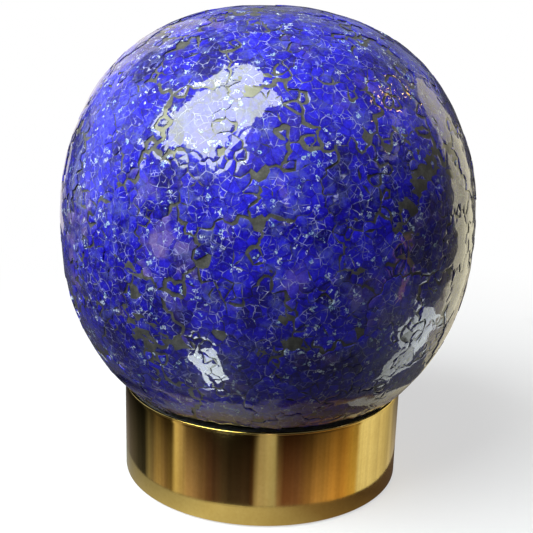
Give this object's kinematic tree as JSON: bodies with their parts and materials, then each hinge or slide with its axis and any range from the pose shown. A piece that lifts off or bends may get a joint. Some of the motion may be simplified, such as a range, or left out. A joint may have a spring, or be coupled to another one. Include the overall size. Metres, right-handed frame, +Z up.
{
  "type": "mosaic glass table lamp",
  "caption": "Rounded glass globe skinned with crackled blue glass mosaic, resting in a low polished brass drum that holds a lampholder and bulb.",
  "frame": {"origin": "on the surface the lamp stands on, under the middle of the drum and the globe", "axes": "+Z up along the globe's axis; +Y towards the cord inlet at the back; +X to the right seen from the front"},
  "size_m": [0.2, 0.2, 0.2298],
  "materials": {
    "crackle_glass": "deep cobalt crackled glass, very glossy",
    "grout": "dark grey cement, matt",
    "clear_glass": "clear blown glass",
    "polished_brass": "mirror polished, spun",
    "plain_brass": "as machined",
    "zinc_plated_steel": "bright zinc plated",
    "black_felt": "pressed felt",
    "black_rubber": "moulded, satin",
    "black_plastic": "moulded, fine matt",
    "steatite": "unglazed",
    "white_plastic": "moulded, satin",
    "opal_plastic": "opal diffuser, satin",
    "nickel": "nickel plated",
    "circuit_board": "white solder mask",
    "brown_insulation": "soft sleeve",
    "blue_insulation": "soft sleeve",
    "green_yellow_insulation": "soft sleeve"
  },
  "bodies": {
    "base": {"drum_shell": "polished_brass", "globe_seat": "zinc_plated_steel", "seat_felt": "black_felt", "foot_felt": "black_felt", "base_plate": "zinc_plated_steel", "drum_tab_1": "zinc_plated_steel", "drum_tab_2": "zinc_plated_steel", "drum_tab_3": "zinc_plated_steel", "base_screw_1": "zinc_plated_steel", "base_screw_2": "zinc_plated_steel", "base_screw_3": "zinc_plated_steel", "cord_grommet": "black_rubber", "bridge_strap": "zinc_plated_steel", "strap_screw_1": "zinc_plated_steel", "strap_screw_2": "zinc_plated_steel", "earth_tag": "zinc_plated_steel", "nipple": "plain_brass", "nipple_nut": "plain_brass", "nipple_washer": "zinc_plated_steel", "holder_cap": "black_plastic", "holder_skirt": "black_plastic", "holder_insert": "steatite", "holder_terminal_screw_1": "plain_brass", "holder_terminal_screw_2": "plain_brass", "centre_contact": "plain_brass", "side_contact": "plain_brass", "terminal_block": "steatite", "terminal_pole_1": "plain_brass", "terminal_pole_2": "plain_brass", "terminal_pole_3": "plain_brass", "live_lead": "brown_insulation", "neutral_lead": "blue_insulation", "earth_lead": "green_yellow_insulation"},
    "globe": {"crackle_tiles": "crackle_glass", "grout_bed": "grout", "glass_globe": "clear_glass"},
    "bulb_foot": {"bulb_contact": "nickel"},
    "bulb": {"bulb_insulator": "black_plastic", "bulb_cap": "nickel", "bulb_housing": "white_plastic", "led_board": "circuit_board", "bulb_dome": "opal_plastic"}
  },
  "joints": [
    {"name": "globe_lift", "type": "slide", "parent": "base", "child": "globe", "axis": [0, 0, 1], "range_m": [0, 0.12]},
    {"name": "bulb_advance", "type": "slide", "parent": "base", "child": "bulb_foot", "axis": [0, 0, 1], "range_m": [0, 0.0142]},
    {"name": "bulb_turn", "type": "hinge", "parent": "bulb_foot", "child": "bulb", "pos_m": [0, 0, 0.0308], "axis": [0, 0, 1], "range_deg": [0, 1800]}
  ],
  "couplings": [
    {"joint": "bulb_advance", "follows": "bulb_turn", "m_per_rad": 0.00044882}
  ]
}
